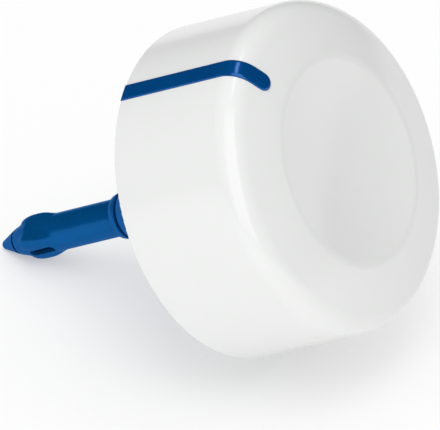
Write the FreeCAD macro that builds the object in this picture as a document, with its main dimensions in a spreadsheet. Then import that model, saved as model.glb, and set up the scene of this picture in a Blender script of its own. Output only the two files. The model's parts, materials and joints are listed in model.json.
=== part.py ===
import FreeCAD, Part
import Sketcher
import math
import os
import re

# Floating pool water monitor. A drum-shaped float carries the electronics, and a probe with the
# electrodes hangs from its neck. +Z points up the drum's axis, +X towards the indicator strip, and
# the origin is on the axis at the waterline. Formulas below measure heights from the drum's lower
# rim instead, and each sub-part's Placement lowers it by the waterline's height. Millimetres.

DOC = FreeCAD.newDocument("water_monitor")
SHEET = DOC.addObject("Spreadsheet::Sheet", "Sizes")

SIZES = {
    # gaps and how far cutting shapes overrun
    "slip_gap": 0.05,
    "bond_gap": 0.02,
    "overcut": 1.0,
    "bury": 1.0,
    "trim_margin": 9.0,
    # float shell
    "waterline": 28.0,
    "base_radius": 65.0,
    "wall_top_radius": 64.0,
    "corner_height": 55.0,
    "corner_blend": 9.5,
    "corner_shift": 0.72,
    "crown_radius": 140.0,
    "edge_height": 61.0,
    "dish_radius": 40.1,
    "dish_depth": 4.0,
    "dish_edge_blend": 8.0,
    "shell_wall": 2.8,
    "rim_blend": 0.5,
    "boss_circle": 56.4,
    "boss_radius": 5.8,
    "boss_foot": 4.4,
    "boss_top": 15.0,
    # indicator strip
    "strip_width": 7.4,
    "strip_depth": 1.4,
    "strip_proud": 0.8,
    "strip_end": 48.8,
    "groove_gap": 0.1,
    "groove_overcut": 3.0,
    "peg_radius": 1.5,
    "peg_length": 4.5,
    "side_peg_bury": 1.0,
    "top_peg_bury": 4.0,
    "side_peg_height": 26.0,
    "top_peg_reach": 53.0,
    # base cover and neck
    "cover_radius": 61.9,
    "cover_recess": 1.2,
    "cover_thickness": 3.0,
    "gasket_section": 0.75,
    "gasket_centre": 1.75,
    "gasket_inset": 0.57,
    "gasket_groove": 1.35,
    "neck_length": 48.3,
    "neck_end_radius": 9.6,
    "neck_root_radius": 28.0,
    "neck_blend": 18.0,
    "neck_joint": 14.0,
    "hollow_mouth_radius": 24.8,
    "hollow_floor_radius": 11.6,
    "hollow_floor": 33.0,
    "turret_radius": 8.2,
    "turret_top": 25.0,
    "spigot_bore": 5.6,
    "thread_bore": 7.8,
    "thread_end": 39.0,
    "key_width": 1.6,
    "key_reach": 6.5,
    "key_length": 3.0,
    "key_drop": 3.3,
    "key_gap": 0.3,
    "post_circle": 49.5,
    "post_count": 4,
    "post_turn": 15.0,
    "post_radius": 3.2,
    "post_top": 16.0,
    # screws
    "cover_screw_count": 6,
    "cover_screw_turn": 30.0,
    "screw_core": 1.25,
    "screw_gap": 0.3,
    "pilot_radius": 1.3,
    "clearance_radius": 1.7,
    "screw_head_radius": 2.5,
    "screw_head_height": 1.8,
    "screw_head_gap": 0.3,
    "screw_head_proud": 0.2,
    "screw_socket_radius": 1.25,
    "screw_socket_depth": 1.1,
    "cover_screw_length": 10.0,
    "small_screw_length": 6.0,
    "small_pilot_depth": 7.0,
    # ballast
    "ballast_inner": 31.0,
    "ballast_outer": 44.5,
    "ballast_thickness": 5.5,
    "ballast_screw_circle": 37.75,
    "ballast_screw_count": 3,
    "ballast_screw_turn": 20.0,
    "ballast_screw_bite": 1.8,
    "ballast_pilot_depth": 2.2,
    # chassis and board
    "chassis_radius": 51.5,
    "chassis_thickness": 2.0,
    "chassis_rib": 4.0,
    "chassis_rib_radius": 45.7,
    "chassis_rib_wall": 1.5,
    "lead_hole_radius": 5.0,
    "lead_offset": 12.0,
    "standoff_circle": 41.0,
    "standoff_count": 4,
    "standoff_turn": 20.0,
    "standoff_radius": 3.0,
    "board_height": 38.0,
    "board_radius": 45.0,
    "board_thickness": 1.6,
    # pieces on the board
    "block_corner": 0.3,
    "module_length": 18.0,
    "module_width": 14.0,
    "module_height": 2.6,
    "module_x": 20.0,
    "module_y": 16.0,
    "antenna_length": 9.0,
    "antenna_width": 3.0,
    "antenna_y": 32.0,
    "chip_side": 9.0,
    "chip_height": 1.2,
    "chip_x": -16.0,
    "chip_y": 14.0,
    "connector_length": 9.0,
    "connector_width": 5.0,
    "connector_height": 4.0,
    # battery
    "tray_length": 60.0,
    "tray_width": 32.4,
    "tray_height": 11.0,
    "tray_wall": 1.6,
    "tray_offset": 14.5,
    "cell_radius": 7.15,
    "cell_length": 49.2,
    "cell_nub_radius": 2.75,
    "cell_nub_length": 1.1,
    "contact_thickness": 0.4,
    "contact_width": 9.0,
    "contact_height": 10.0,
    "spring_root_radius": 4.2,
    "spring_tip_radius": 2.2,
    "button_root_radius": 3.6,
    "button_tip_radius": 2.4,
    "wire_foot": 10.2,
    # probe
    "head_top": 28.5,
    "spigot_radius": 5.45,
    "spigot_hollow": 3.4,
    "ring_groove_depth": 1.1,
    "ring_groove_width": 1.8,
    "first_ring_groove": 33.0,
    "second_ring_groove": 36.6,
    "spigot_ring_section": 0.56,
    "snap_groove": 40.2,
    "snap_groove_width": 1.5,
    "snap_groove_radius": 4.8,
    "snap_ring_radius": 7.1,
    "snap_ring_thickness": 1.2,
    "head_foot": 60.5,
    "tube_top": 53.4,
    "tube_radius": 7.5,
    "tube_bore": 5.6,
    "chamber_floor": 100.4,
    "guard_taper_start": 98.6,
    "guard_taper_radius": 6.45,
    "guard_taper_end": 103.0,
    "guard_end": 106.4,
    "guard_end_radius": 5.45,
    "fin_azimuth": 52.7,
    "fin_count": 4,
    "fin_axis_radius": 5.7,
    "fin_thickness": 3.4,
    "fin_start": 82.3,
    "fin_full": 93.5,
    "fin_end": 102.6,
    "window_width": 3.6,
    "window_top": 87.0,
    "window_bottom": 99.4,
    "window_azimuth": 45.0,
    # locking collar
    "collar_foot": 53.2,
    "collar_bore": 5.75,
    "collar_thread_radius": 7.45,
    "collar_thread_top": 41.3,
    "collar_ridge_radius": 9.7,
    "collar_neck_radius": 7.3,
    "collar_gap": 1.6,
    "collar_edge_radius": 8.8,
    "collar_blend": 0.4,
    # nose
    "nose_bore": 3.3,
    "nose_shank_radius": 3.0,
    "nose_shank_top": 101.8,
    "nose_shoulder": 107.5,
    "nose_radius": 5.0,
    "nose_tip_radius": 2.06,
    "nose_tip": 115.8,
    "nose_angle": 23.8,
    "nose_ring_section": 0.5,
    # electrodes
    "carrier_top": 81.0,
    "carrier_foot": 86.0,
    "electrode_circle": 3.1,
    "electrode_top": 79.0,
    "glass_radius": 1.7,
    "bulb_radius": 2.1,
    "bulb_depth": 94.8,
    "sensor_radius": 1.4,
    "sensor_foot": 94.0,
    "tip_radius": 0.9,
    "tip_length": 2.4,
    # socket and plug
    "insert_radius": 5.5,
    "insert_foot": 28.0,
    "insert_flange_radius": 7.4,
    "insert_flange": 1.5,
    "pin_radius": 0.4,
    "pin_circle": 1.5,
    "pin_count": 5,
    "pin_top": 21.5,
    "pin_foot": 33.4,
    "plug_hole_radius": 0.75,
    "plug_foot": 34.5,
    "plug_top": 29.0,
    "plug_floor": 0.5,
    "tail_length": 3.5,
    "probe_board_width": 8.0,
    "probe_board_thickness": 1.0,
    "probe_board_length": 14.0,
    "probe_board_gap": 0.5,
    "lead_radius": 1.8,
    "lead_bend": 16.0,
    "lead_low": 8.0,
    "lead_high": 10.0,
    "wire_radius": 0.7,
}

SUB_PARTS = []


def fill_sheet():
    for row, (alias, size) in enumerate(SIZES.items(), start=1):
        SHEET.set(f"A{row}", alias)
        SHEET.set(f"B{row}", str(size))
        SHEET.setAlias(f"B{row}", alias)
    DOC.recompute()


def bound(formula):
    """Point each size named in a formula at its cell in the sheet."""
    return re.sub(r"[a-z_]+", lambda word: "Sizes." + word[0] if word[0] in SIZES else word[0], formula)


def value(formula):
    result = SHEET.evalExpression(bound(formula))
    return float(getattr(result, "Value", result))


def bind(piece, **formulas):
    for name, formula in formulas.items():
        piece.setExpression(name, bound(formula))
    return piece


def place(piece, x="0", y="0", z="0", turn="0"):
    piece.setExpression("Placement.Base.x", bound(x))
    piece.setExpression("Placement.Base.y", bound(y))
    piece.setExpression("Placement.Base.z", bound(z))
    if turn != "0":
        piece.setExpression("Placement.Rotation.Angle", bound(turn))
    return piece


def sub_part(label, piece, x="0", y="0", z="0", turn="0"):
    """Name a finished sub-part and place it, with z measured from the drum's lower rim."""
    piece.Label = label
    place(piece, x, y, f"{z} - waterline", turn)
    SUB_PARTS.append(piece)
    return piece


# Sketches and bodies


def new_body(name):
    return DOC.addObject("PartDesign::Body", name + "_body")


def origin_feature(body, role):
    return next(feature for feature in body.Origin.OriginFeatures if feature.Role == role)


def new_sketch(body, plane, height="0"):
    sketch = body.newObject("Sketcher::SketchObject", body.Name + "_sketch")
    sketch.AttachmentSupport = [(origin_feature(body, plane), "")]
    sketch.MapMode = "FlatFace"
    sketch.setExpression("AttachmentOffset.Base.z", bound(height))
    return sketch


def arc_between(start, end, radius):
    """Arc that turns left on its way if the radius is positive, and right if it is negative."""
    half = (end - start) * 0.5
    left = FreeCAD.Vector(-half.y, half.x, 0).normalize()
    centre = start + half + left * math.copysign(math.sqrt(max(radius**2 - half.Length**2, 0)), radius)
    ends = (start, end) if radius > 0 else (end, start)
    first, last = (math.atan2(point.y - centre.y, point.x - centre.x) for point in ends)
    circle = Part.Circle(centre, FreeCAD.Vector(0, 0, 1), abs(radius))
    return Part.ArcOfCircle(circle, first, last + 2 * math.pi if last < first else last)


def draw(sketch, corners):
    """Draw a closed outline. Each corner is two formulas, and a third makes the next side an arc."""
    points = [FreeCAD.Vector(value(corner[0]), value(corner[1]), 0) for corner in corners]
    first = sketch.GeometryCount
    begins = []
    for index, corner in enumerate(corners):
        start, end = points[index], points[(index + 1) % len(points)]
        radius = value(corner[2]) if len(corner) > 2 else 0
        side = arc_between(start, end, radius) if radius else Part.LineSegment(start, end)
        sketch.addGeometry(side, False)
        begins.append(2 if radius < 0 else 1)
    for index, corner in enumerate(corners):
        side = first + index
        after = (index + 1) % len(corners)
        sketch.addConstraint(
            Sketcher.Constraint("Coincident", side, 3 - begins[index], first + after, begins[after])
        )
        for kind, formula, size in zip(("DistanceX", "DistanceY"), corner, points[index]):
            limit = sketch.addConstraint(Sketcher.Constraint(kind, -1, 1, side, begins[index], size))
            sketch.setExpression(f"Constraints[{limit}]", bound(formula))
        if len(corner) > 2:
            limit = sketch.addConstraint(Sketcher.Constraint("Radius", side, abs(value(corner[2]))))
            sketch.setExpression(f"Constraints[{limit}]", bound(corner[2].lstrip("-")))


def draw_circle(sketch, radius, x="0", y="0"):
    centre = FreeCAD.Vector(value(x), value(y), 0)
    circle = sketch.addGeometry(Part.Circle(centre, FreeCAD.Vector(0, 0, 1), value(radius)), False)
    for kind, formula, size in zip(("DistanceX", "DistanceY"), (x, y), centre):
        limit = sketch.addConstraint(Sketcher.Constraint(kind, -1, 1, circle, 3, size))
        sketch.setExpression(f"Constraints[{limit}]", bound(formula))
    limit = sketch.addConstraint(Sketcher.Constraint("Radius", circle, value(radius)))
    sketch.setExpression(f"Constraints[{limit}]", bound(radius))


def turn_profile(body, corners, axis_radius=None):
    """Revolve a profile of (radius, height) corners about the body's Z axis, or one beside it."""
    sketch = new_sketch(body, "XZ_Plane")
    draw(sketch, corners)
    revolution = body.newObject("PartDesign::Revolution", body.Name + "_turn")
    revolution.Profile = sketch
    revolution.ReferenceAxis = (sketch, ["V_Axis"])
    if axis_radius:
        foot, top = (FreeCAD.Vector(value(axis_radius), height, 0) for height in (-1, 1))
        line = sketch.addGeometry(Part.LineSegment(foot, top), True)
        sketch.addConstraint(Sketcher.Constraint("Vertical", line))
        limit = sketch.addConstraint(Sketcher.Constraint("DistanceX", -1, 1, line, 1, foot.x))
        sketch.setExpression(f"Constraints[{limit}]", bound(axis_radius))
        revolution.ReferenceAxis = (sketch, ["Axis0"])
    revolution.Angle = 360
    DOC.recompute()
    return revolution


def turned(name, corners):
    body = new_body(name)
    turn_profile(body, corners)
    return body


def round_edges(body, radius, *places):
    """Round the body's circular edges that lie at the given (radius, height) places."""
    base = body.Tip
    found = []
    for place_radius, height in places:
        for number, edge in enumerate(base.Shape.Edges, start=1):
            if edge.Degenerated or not isinstance(edge.Curve, Part.Circle):
                continue
            radius_error = abs(edge.Curve.Radius - value(place_radius))
            if max(radius_error, abs(edge.Curve.Center.z - value(height))) < 0.01:
                found.append(f"Edge{number}")
    assert len(found) == len(places), body.Name + " has no such edges to round"
    fillet = body.newObject("PartDesign::Fillet", body.Name + "_round")
    fillet.Base = (base, found)
    fillet.setExpression("Radius", bound(radius))
    body.Tip = fillet
    DOC.recompute()


def repeat(body, features, count):
    pattern = body.newObject("PartDesign::PolarPattern", body.Name + "_ring")
    pattern.Originals = features
    pattern.Axis = (origin_feature(body, "Z_Axis"), [""])
    pattern.Angle = 360
    pattern.setExpression("Occurrences", bound(count))
    body.Tip = pattern
    DOC.recompute()


def cut_hole(body, draw_outline, plane="XY_Plane", height="0", depth="1", upwards=False, middle=False):
    """Pocket an outline into a body, and make sure that it removed something."""
    before = body.Shape.Volume
    sketch = new_sketch(body, plane, height)
    draw_outline(sketch)
    pocket = body.newObject("PartDesign::Pocket", body.Name + "_pocket")
    pocket.Profile = sketch
    pocket.Reversed = upwards
    pocket.Midplane = middle
    pocket.setExpression("Length", bound(depth))
    body.Tip = pocket
    DOC.recompute()
    assert body.Shape.Volume < before - 0.01, body.Name + " pocket cut nothing"
    return pocket


def circle_of(count, circle, turn="0"):
    """Formulas for evenly spaced places on a circle."""
    angles = [f"({turn} + {360 * index} / {count})" for index in range(int(value(count)))]
    return [(f"{circle} * cos{angle}", f"{circle} * sin{angle}") for angle in angles]


def plate(name, outer, inner, thickness, height, holes=()):
    """Flat ring or disc with extra holes, each a tuple of radius, x and y."""
    body = new_body(name)
    sketch = new_sketch(body, "XY_Plane", height)
    draw_circle(sketch, outer)
    if inner:
        draw_circle(sketch, inner)
    for hole in holes:
        draw_circle(sketch, *hole)
    pad = body.newObject("PartDesign::Pad", body.Name + "_pad")
    pad.Profile = sketch
    pad.setExpression("Length", bound(thickness))
    DOC.recompute()
    return body


# Solids combined from primitives


def cylinder(name, radius, length, x="0", y="0", z="0"):
    piece = DOC.addObject("Part::Cylinder", name)
    bind(piece, Radius=radius, Height=length)
    return place(piece, x, y, z)


def box(name, length, width, height, x="0", y="0", z="0"):
    """Box centred on x and y that stands on z."""
    piece = DOC.addObject("Part::Box", name)
    bind(piece, Length=length, Width=width, Height=height)
    return place(piece, f"{x} - ({length}) / 2", f"{y} - ({width}) / 2", z)


def fused(name, pieces):
    fusion = DOC.addObject("Part::MultiFuse", name)
    fusion.Shapes = pieces
    DOC.recompute()
    return fusion


def cut(name, base, tools):
    result = DOC.addObject("Part::Cut", name)
    result.Base = base
    result.Tool = tools[0] if len(tools) == 1 else fused(name + "_tools", tools)
    DOC.recompute()
    return result


def group(name, pieces):
    compound = DOC.addObject("Part::Compound", name)
    compound.Links = pieces
    DOC.recompute()
    return compound


def cylinders(name, places, radius, length, z):
    return [cylinder(f"{name}_{index}", radius, length, x, y, z) for index, (x, y) in enumerate(places)]


def routed(name, points, radius, bend):
    """Round lead along straight runs joined by tangent arcs."""
    edges = []
    start = points[0]
    for before, corner, after in zip(points, points[1:], points[2:]):
        into, out = (corner - before).normalize(), (after - corner).normalize()
        reach = bend * math.tan(into.getAngle(out) / 2)
        first, last = corner - into * reach, corner + out * reach
        middle = corner + (out - into).normalize() * (bend / math.cos(into.getAngle(out) / 2) - bend)
        edges.append(Part.LineSegment(start, first).toShape())
        edges.append(Part.Arc(first, middle, last).toShape())
        start = last
    edges.append(Part.LineSegment(start, points[-1]).toShape())
    path = Part.Wire(edges)
    section = Part.Wire(Part.makeCircle(radius, points[0], points[1] - points[0]))
    lead = DOC.addObject("Part::Feature", name)
    lead.Shape = path.makePipeShell([section], True, True)
    return lead


# Float


def drum_outline(offset):
    """Corners of the drum's outside from the rim to the dish's edge, moved out by an offset."""
    corner_top = f"corner_height + {offset} * corner_shift"
    return [
        (f"base_radius + {offset}", "0"),
        (f"wall_top_radius + {offset}", corner_top, f"crown_radius + {offset}"),
        ("dish_radius", f"edge_height + {offset}"),
    ]


DISH_ARC = "(dish_radius ^ 2 + dish_depth ^ 2) / (2 * dish_depth)"


def strip_skin(name, inner, outer):
    """Ring of even thickness that follows the drum's wall, rounded corner and crown."""
    outside = drum_outline(outer)
    inside = drum_outline(inner)
    body = turned(
        name,
        [
            outside[0],
            outside[1],
            outside[2],
            (inside[2][0], inside[2][1], f"-(crown_radius + {inner})"),
            (inside[1][0], inside[1][1]),
            inside[0],
        ],
    )
    round_edges(body, f"corner_blend + {inner}", inside[1][:2])
    round_edges(body, f"corner_blend + {outer}", outside[1][:2])
    return body


def strip_plan(name, gap, height):
    """Straight-sided block with a round inner end, which trims the strip's ring in plan."""
    half = f"(strip_width / 2 + {gap})"
    body = new_body(name)
    sketch = new_sketch(body, "XY_Plane")
    inner = f"strip_end + {half} - {gap}"
    draw(
        sketch,
        [
            ("base_radius + trim_margin", f"-{half}"),
            ("base_radius + trim_margin", half),
            (inner, half, half),
            (f"{inner} - {half}", "0", half),
            (inner, f"-{half}"),
        ],
    )
    pad = body.newObject("PartDesign::Pad", body.Name + "_pad")
    pad.Profile = sketch
    pad.setExpression("Length", bound(height))
    DOC.recompute()
    return body


def strip_band(name, inner, outer, gap):
    band = DOC.addObject("Part::Common", name)
    band.Base = strip_skin(name + "_skin", inner, outer)
    band.Tool = strip_plan(name + "_plan", gap, "edge_height + trim_margin")
    DOC.recompute()
    return band


def strip_pegs(name, extra):
    """Two pegs that run from the strip through the shell's wall."""
    radius = f"peg_radius + {extra}"
    side_foot = "base_radius - side_peg_bury - peg_length"
    side = cylinder(name + "_side", radius, "peg_length", side_foot, z="side_peg_height")
    side.setExpression("Placement.Rotation.Pitch", "90")
    top_foot = "edge_height - top_peg_bury - peg_length"
    top = cylinder(name + "_top", radius, "peg_length", "top_peg_reach", z=top_foot)
    return [side, top]


def boss_places():
    return circle_of("cover_screw_count", "boss_circle", "cover_screw_turn")


def top_shell():
    inner_wall = "base_radius - shell_wall"
    inner_corner = ("wall_top_radius - shell_wall", "corner_height - shell_wall")
    body = turned(
        "top_shell",
        [
            ("base_radius", "0"),
            ("wall_top_radius", "corner_height", "crown_radius"),
            ("dish_radius", "edge_height", f"-({DISH_ARC})"),
            ("0", "edge_height - dish_depth"),
            ("0", "edge_height - dish_depth - shell_wall", DISH_ARC),
            ("dish_radius", "edge_height - shell_wall", "-crown_radius"),
            inner_corner,
            (inner_wall, "0"),
        ],
    )
    round_edges(body, "corner_blend - shell_wall", inner_corner)
    round_edges(body, "corner_blend", ("wall_top_radius", "corner_height"))
    round_edges(body, "dish_edge_blend", ("dish_radius", "edge_height"))
    round_edges(body, "rim_blend", ("base_radius", "0"))
    bosses = cylinders("shell_boss", boss_places(), "boss_radius", "boss_top - boss_foot", "boss_foot")
    pilot_foot = "boss_foot - overcut"
    pilots = cylinders("shell_pilot", boss_places(), "pilot_radius", "cover_screw_length", pilot_foot)
    groove_floor = "0 - strip_depth - groove_gap"
    groove = strip_band("shell_groove", groove_floor, "groove_overcut", "groove_gap / 2")
    tools = [*pilots, groove, *strip_pegs("shell_peg_hole", "groove_gap")]
    sub_part("top_shell", cut("top_shell", fused("shell_blank", [body, *bosses]), tools))


def indicator_strip():
    band = strip_band("strip", "0 - strip_depth", "strip_proud", "0")
    sub_part("indicator_strip", fused("indicator_strip", [band, *strip_pegs("strip_peg", "0")]))


# Base cover and what it carries

COVER_TOP = "(cover_recess + cover_thickness)"
GASKET_HEIGHT = "(cover_recess + gasket_centre)"
HEAD_SEAT = "(cover_recess - screw_head_proud + screw_head_height)"


def base_cover():
    """Cover with a neck of another colour moulded onto it, made as one shape and then divided."""
    body = turned(
        "cover",
        [
            ("cover_radius", "cover_recess"),
            ("cover_radius", COVER_TOP),
            ("hollow_mouth_radius", COVER_TOP),
            ("hollow_floor_radius", "-hollow_floor"),
            ("turret_radius", "-hollow_floor"),
            ("turret_radius", "-turret_top"),
            ("spigot_bore", "-turret_top"),
            ("spigot_bore", "-thread_end"),
            ("thread_bore", "-thread_end"),
            ("thread_bore", "-neck_length"),
            ("neck_end_radius", "-neck_length"),
            ("neck_root_radius", "cover_recess"),
        ],
    )
    round_edges(body, "neck_blend", ("neck_root_radius", "cover_recess"))
    post_height = f"post_top - {COVER_TOP} + bury"
    posts = cylinders("cover_post", post_places(), "post_radius", post_height, f"{COVER_TOP} - bury")
    post_pilots = cylinders(
        "post_pilot",
        post_places(),
        "pilot_radius",
        "small_pilot_depth",
        "post_top + overcut - small_pilot_depth",
    )
    ballast_pilots = cylinders(
        "ballast_pilot",
        ballast_places(),
        "pilot_radius",
        "ballast_pilot_depth + overcut",
        f"{COVER_TOP} - ballast_pilot_depth",
    )
    holes = cylinders(
        "cover_hole",
        boss_places(),
        "clearance_radius",
        "cover_thickness + 2 * overcut",
        "cover_recess - overcut",
    )
    recesses = cylinders(
        "cover_recess",
        boss_places(),
        "screw_head_radius + screw_head_gap",
        "screw_head_height",
        f"{HEAD_SEAT} - screw_head_height",
    )
    groove_half = "(gasket_section + slip_gap)"
    groove = turned(
        "gasket_groove",
        [
            ("cover_radius + overcut", f"{GASKET_HEIGHT} - {groove_half}"),
            ("cover_radius + overcut", f"{GASKET_HEIGHT} + {groove_half}"),
            ("cover_radius - gasket_groove", f"{GASKET_HEIGHT} + {groove_half}"),
            ("cover_radius - gasket_groove", f"{GASKET_HEIGHT} - {groove_half}"),
        ],
    )
    key_slot = box(
        "key_slot",
        "key_reach + key_gap",
        "key_width + 2 * key_gap",
        "thread_end - turret_top",
        "(key_reach + key_gap) / 2",
        "0",
        "-thread_end - overcut",
    )
    blank = fused("cover_blank", [body, *posts])
    whole = cut("cover_and_neck", blank, [*post_pilots, *ballast_pilots, *holes, *recesses, groove, key_slot])
    side = "2 * cover_radius"
    below = box("neck_share", side, side, "neck_length", z="-neck_joint - neck_length")
    sub_part("base_cover", cut("base_cover", whole, [below]))
    neck = DOC.addObject("Part::Common", "neck")
    neck.Base = whole
    neck.Tool = below
    DOC.recompute()
    sub_part("neck", neck)


def post_places():
    return circle_of("post_count", "post_circle", "post_turn")


def ballast_places():
    return circle_of("ballast_screw_count", "ballast_screw_circle", "ballast_screw_turn")


def standoff_places():
    return circle_of("standoff_count", "standoff_circle", "standoff_turn")


def ring(name, radius, section, height):
    """O-ring as a revolved circle."""
    body = new_body(name)
    sketch = new_sketch(body, "XZ_Plane")
    draw_circle(sketch, section, radius, height)
    revolution = body.newObject("PartDesign::Revolution", body.Name + "_turn")
    revolution.Profile = sketch
    revolution.ReferenceAxis = (sketch, ["V_Axis"])
    revolution.Angle = 360
    DOC.recompute()
    return body


def cover_gasket():
    gasket = ring("cover_gasket", "cover_radius - gasket_inset", "gasket_section", GASKET_HEIGHT)
    sub_part("cover_gasket", gasket)


def screws(label, count, circle, turn, seat, length, upwards):
    """Socket-head screws on a circle, whose heads bear on the seat and whose shanks run up or down."""
    back, way = ("-", "+") if upwards else ("+", "-")
    head = f"{seat} {back} screw_head_height"
    tip = f"{seat} {way} {length}"
    body = new_body(label)
    revolution = turn_profile(
        body,
        [
            (circle, head),
            (f"{circle} + screw_head_radius", head),
            (f"{circle} + screw_head_radius", seat),
            (f"{circle} + screw_core", seat),
            (f"{circle} + screw_core", tip),
            (circle, tip),
        ],
        circle,
    )
    hexagon = circle_of("6", "screw_socket_radius")
    corners = [(f"{circle} + {x}", y) for x, y in hexagon]
    socket = cut_hole(
        body, lambda sketch: draw(sketch, corners), height=head, depth="screw_socket_depth", upwards=upwards
    )
    repeat(body, [revolution, socket], count)
    sub_part(label, body, turn=turn)


def ballast_ring():
    holes = [("screw_core + screw_gap", x, y) for x, y in ballast_places()]
    body = plate("ballast_ring", "ballast_outer", "ballast_inner", "ballast_thickness", COVER_TOP, holes)
    sub_part("ballast_ring", body)


CHASSIS_TOP = "(post_top + chassis_thickness)"


def chassis():
    holes = [("screw_core + screw_gap", x, y) for x, y in post_places()]
    holes.append(("lead_hole_radius", "0", "lead_offset"))
    body = plate("chassis", "chassis_radius", None, "chassis_thickness", "post_top", holes)
    places = standoff_places()
    foot = f"{CHASSIS_TOP} - bury"
    standoffs = cylinders("standoff", places, "standoff_radius", f"board_height - {foot}", foot)
    pilot_foot = "board_height + overcut - small_pilot_depth"
    pilots = cylinders("standoff_pilot", places, "pilot_radius", "small_pilot_depth", pilot_foot)
    rib_bore = "chassis_rib_radius - chassis_rib_wall"
    rib = plate("chassis_rib", "chassis_rib_radius", rib_bore, "chassis_rib", foot)
    blank = fused("chassis_blank", [body, rib, *standoffs])
    sub_part("chassis", cut("chassis", blank, pilots))


# Electronics

BOARD_TOP = "(board_height + board_thickness)"


def main_board():
    holes = [("screw_core + screw_gap", x, y) for x, y in standoff_places()]
    body = plate("main_board", "board_radius", None, "board_thickness", "board_height", holes)
    sub_part("main_board", body)


def block(label, length, width, height, x, y, z):
    """Small moulded block with rounded upright corners."""
    body = new_body(label)
    sketch = new_sketch(body, "XY_Plane", z)
    side_x, side_y = f"({length}) / 2", f"({width}) / 2"
    draw(
        sketch,
        [
            (f"{x} - {side_x}", f"{y} - {side_y}"),
            (f"{x} + {side_x}", f"{y} - {side_y}"),
            (f"{x} + {side_x}", f"{y} + {side_y}"),
            (f"{x} - {side_x}", f"{y} + {side_y}"),
        ],
    )
    pad = body.newObject("PartDesign::Pad", body.Name + "_pad")
    pad.Profile = sketch
    pad.setExpression("Length", bound(height))
    DOC.recompute()
    uprights = [
        f"Edge{number}"
        for number, side in enumerate(pad.Shape.Edges, start=1)
        if abs(side.Vertexes[0].Z - side.Vertexes[-1].Z) > 0.01
    ]
    fillet = body.newObject("PartDesign::Fillet", body.Name + "_round")
    fillet.Base = (pad, uprights)
    fillet.setExpression("Radius", bound("block_corner"))
    body.Tip = fillet
    DOC.recompute()
    return sub_part(label, body)


def board_pieces():
    block("radio_module", "module_length", "module_width", "module_height", "module_x", "module_y", BOARD_TOP)
    block("antenna", "antenna_length", "antenna_width", "chip_height", "module_x", "antenna_y", BOARD_TOP)
    block("processor_chip", "chip_side", "chip_side", "chip_height", "chip_x", "chip_y", BOARD_TOP)
    block(
        "board_connector",
        "connector_length",
        "connector_width",
        "connector_height",
        "0",
        "lead_offset",
        "board_height - connector_height",
    )


def battery_tray():
    """Open tray with a wall round the two cells."""
    outer = box("tray_outer", "tray_length", "tray_width", "tray_height", "0", "0", CHASSIS_TOP)
    pocket = box(
        "tray_pocket",
        "tray_length - 2 * tray_wall",
        "tray_width - 2 * tray_wall",
        "tray_height",
        "0",
        "0",
        f"{CHASSIS_TOP} + tray_wall",
    )
    tray = cut("battery_tray", outer, [pocket])
    sub_part("battery_tray", tray, y="-tray_offset")


CELL_HEIGHT = f"({CHASSIS_TOP} + tray_wall + slip_gap + cell_radius)"
CELL_SIDE = "(cell_radius + 2 * slip_gap)"


def cell_pair(name, pieces):
    """Lay two upright pieces along X beside each other, end for end."""
    for piece, side, way in zip(pieces, ("-", ""), ("", "-")):
        place(piece, "0", f"{side}{CELL_SIDE} - tray_offset", CELL_HEIGHT)
        piece.setExpression("Placement.Rotation.Pitch", f"{way}90")
    return group(name, pieces)


def battery_cells():
    cells = [
        turned(
            f"cell_{index}",
            [
                ("0", "-cell_length / 2"),
                ("cell_radius", "-cell_length / 2"),
                ("cell_radius", "cell_length / 2"),
                ("cell_nub_radius", "cell_length / 2"),
                ("cell_nub_radius", "cell_length / 2 + cell_nub_length"),
                ("0", "cell_length / 2 + cell_nub_length"),
            ],
        )
        for index in range(2)
    ]
    sub_part("battery_cells", cell_pair("battery_cells", cells))


TRAY_END = "(tray_length / 2 - tray_wall)"
CONTACT_FACE = f"({TRAY_END} - contact_thickness)"
NUB_END = "(cell_length / 2 + cell_nub_length)"


def battery_contacts():
    springs = [
        turned(
            f"spring_{index}",
            [
                ("0", f"-{CONTACT_FACE}"),
                ("spring_root_radius", f"-{CONTACT_FACE}"),
                ("spring_tip_radius", "-cell_length / 2 - slip_gap"),
                ("0", "-cell_length / 2 - slip_gap"),
            ],
        )
        for index in range(2)
    ]
    sub_part("battery_springs", cell_pair("battery_springs", springs))
    buttons = [
        turned(
            f"button_{index}",
            [
                ("0", f"{NUB_END} + slip_gap"),
                ("button_tip_radius", f"{NUB_END} + slip_gap"),
                ("button_root_radius", CONTACT_FACE),
                ("0", CONTACT_FACE),
            ],
        )
        for index in range(2)
    ]
    plates = [
        box(
            "contact_plate",
            "contact_thickness",
            "contact_width",
            "contact_height",
            f"{end}({TRAY_END} - contact_thickness / 2)",
            f"{side}{CELL_SIDE} - tray_offset",
            f"{CHASSIS_TOP} + tray_wall + 2 * slip_gap",
        )
        for end in ("-", "")
        for side in ("-", "")
    ]
    pieces = [cell_pair("contact_buttons", buttons), *plates]
    sub_part("battery_plates", group("battery_plates", pieces))


def battery_leads():
    """Two wires from the cells' end contacts straight up to the board."""
    foot = f"({CHASSIS_TOP} + tray_wall + wire_foot)"
    wires = [
        cylinder(
            "battery_wire",
            "wire_radius",
            f"board_height - {foot}",
            f"-({TRAY_END} - contact_thickness / 2)",
            f"{side}{CELL_SIDE} - tray_offset",
            foot,
        )
        for side in ("-", "")
    ]
    sub_part("battery_leads", group("battery_leads", wires))


def probe_lead():
    """Lead from the neck's socket, up past the battery tray, to the connector under the board."""
    offset = value("lead_offset")
    points = [
        FreeCAD.Vector(0, 0, value("2 * slip_gap - pin_top")),
        FreeCAD.Vector(0, 0, -value("lead_low")),
        FreeCAD.Vector(0, offset, value("lead_high")),
        FreeCAD.Vector(0, offset, value("board_height - connector_height - 2 * slip_gap")),
    ]
    sub_part("probe_lead", routed("probe_lead", points, value("lead_radius"), value("lead_bend")))


# Socket in the neck


def pin_places():
    return circle_of("pin_count", "pin_circle")


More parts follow.
